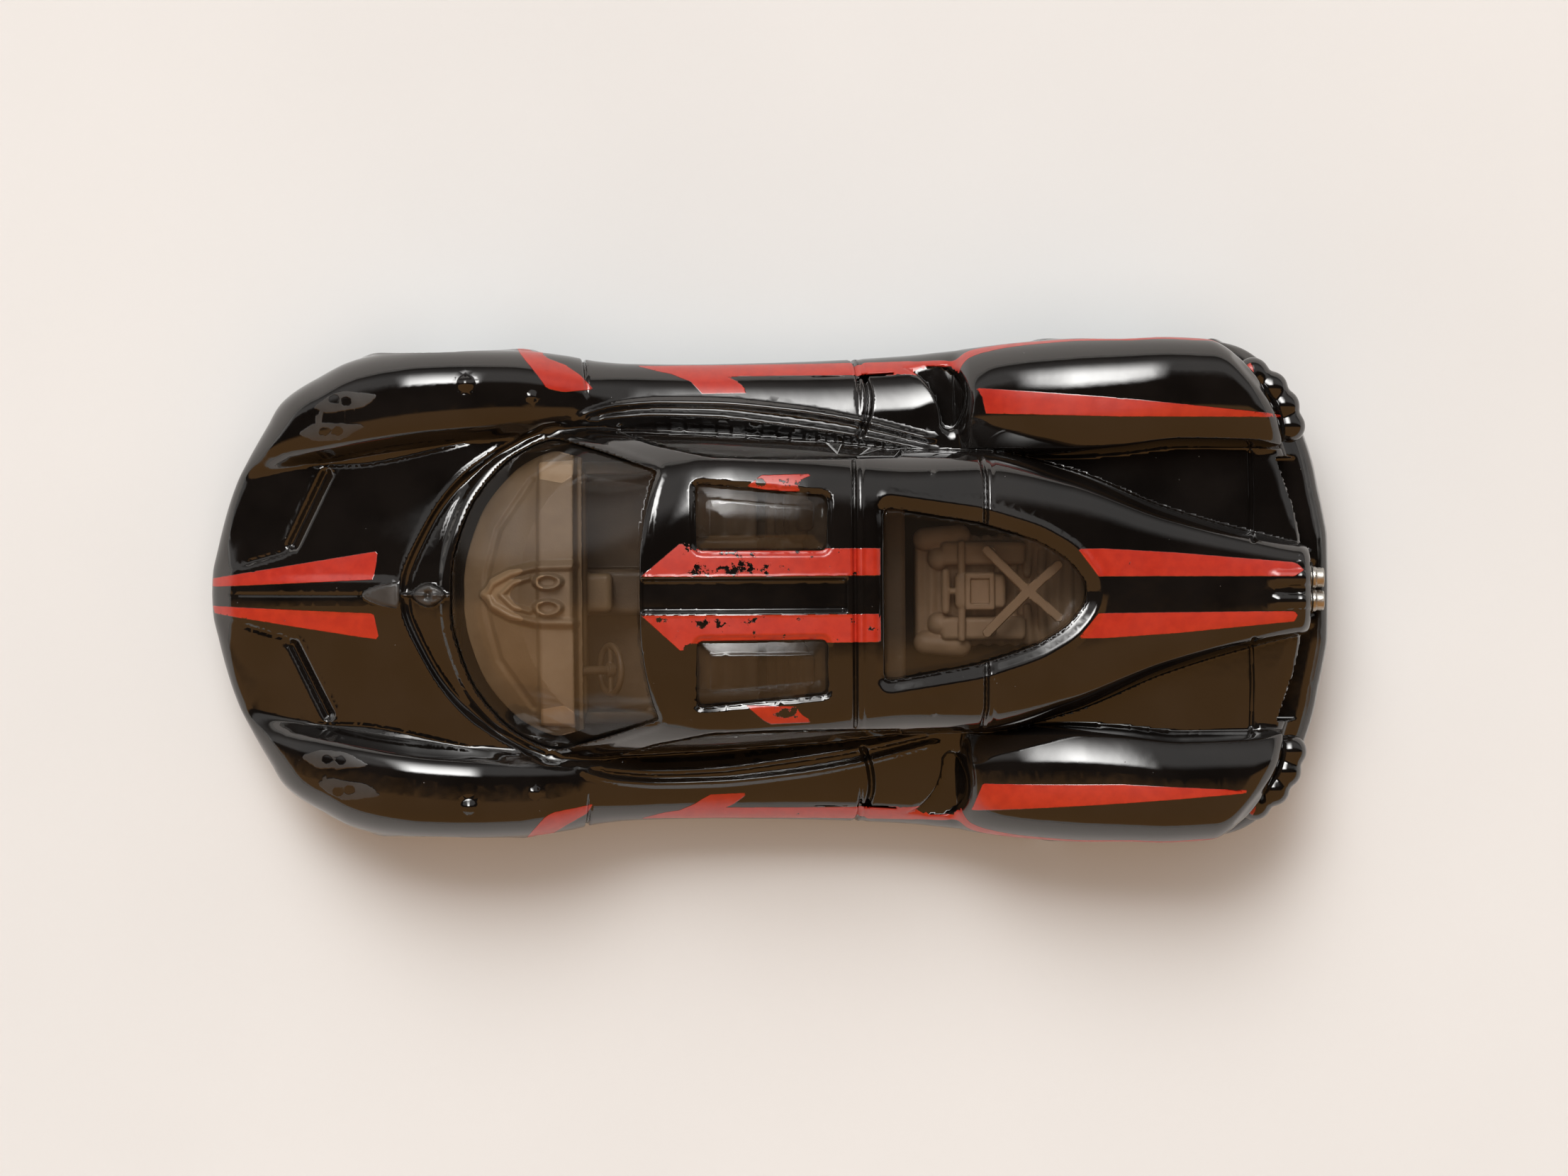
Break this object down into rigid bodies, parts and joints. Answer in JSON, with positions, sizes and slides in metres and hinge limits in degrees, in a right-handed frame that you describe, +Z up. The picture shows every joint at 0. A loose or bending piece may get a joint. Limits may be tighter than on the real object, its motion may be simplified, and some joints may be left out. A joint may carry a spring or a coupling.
{
  "type": "diecast toy car",
  "caption": "Low mid-engined diecast collector sports car with a cast metal body, smoked glazing, a riveted base plate and free-rolling wheels.",
  "frame": {"origin": "on the ground, under the middle of the car's length and width", "axes": "-X towards the nose, +X towards the tail, +Y towards the car's right-hand side, +Z up"},
  "size_m": [0.072, 0.0322, 0.0188],
  "materials": {
    "paint": "gloss",
    "glazing": "gloss",
    "base": "satin",
    "cabin": "satin",
    "steel": "satin",
    "plating": "polished",
    "tyre": "matte"
  },
  "bodies": {
    "chassis": {"body_shell": "paint", "window_insert": "glazing", "base_plate": "base", "front_rivet": "steel", "rear_rivet": "steel", "interior_tub": "cabin", "dashboard": "cabin", "seat_right": "cabin", "seat_left": "cabin", "steering_wheel": "cabin", "engine_block": "cabin", "engine_cross_brace": "cabin", "exhaust_tips": "plating"},
    "front_axle": {"front_axle": "steel"},
    "rear_axle": {"rear_axle": "steel"},
    "front_right_wheel": {"front_right_rim": "plating", "front_right_tyre": "tyre"},
    "front_left_wheel": {"front_left_rim": "plating", "front_left_tyre": "tyre"},
    "rear_right_wheel": {"rear_right_rim": "plating", "rear_right_tyre": "tyre"},
    "rear_left_wheel": {"rear_left_rim": "plating", "rear_left_tyre": "tyre"}
  },
  "joints": [
    {"name": "front_axle_spin", "type": "hinge", "parent": "chassis", "child": "front_axle", "pos_m": [-0.0205, 0, 0.0052], "axis": [0, 1, 0], "continuous": true},
    {"name": "rear_axle_spin", "type": "hinge", "parent": "chassis", "child": "rear_axle", "pos_m": [0.023, 0, 0.0056], "axis": [0, 1, 0], "continuous": true},
    {"name": "front_right_wheel_spin", "type": "hinge", "parent": "front_axle", "child": "front_right_wheel", "pos_m": [-0.0205, 0.0131, 0.0052], "axis": [0, 1, 0], "continuous": true},
    {"name": "front_left_wheel_spin", "type": "hinge", "parent": "front_axle", "child": "front_left_wheel", "pos_m": [-0.0205, -0.0131, 0.0052], "axis": [0, 1, 0], "continuous": true},
    {"name": "rear_right_wheel_spin", "type": "hinge", "parent": "rear_axle", "child": "rear_right_wheel", "pos_m": [0.023, 0.0133, 0.0056], "axis": [0, 1, 0], "continuous": true},
    {"name": "rear_left_wheel_spin", "type": "hinge", "parent": "rear_axle", "child": "rear_left_wheel", "pos_m": [0.023, -0.0133, 0.0056], "axis": [0, 1, 0], "continuous": true}
  ]
}
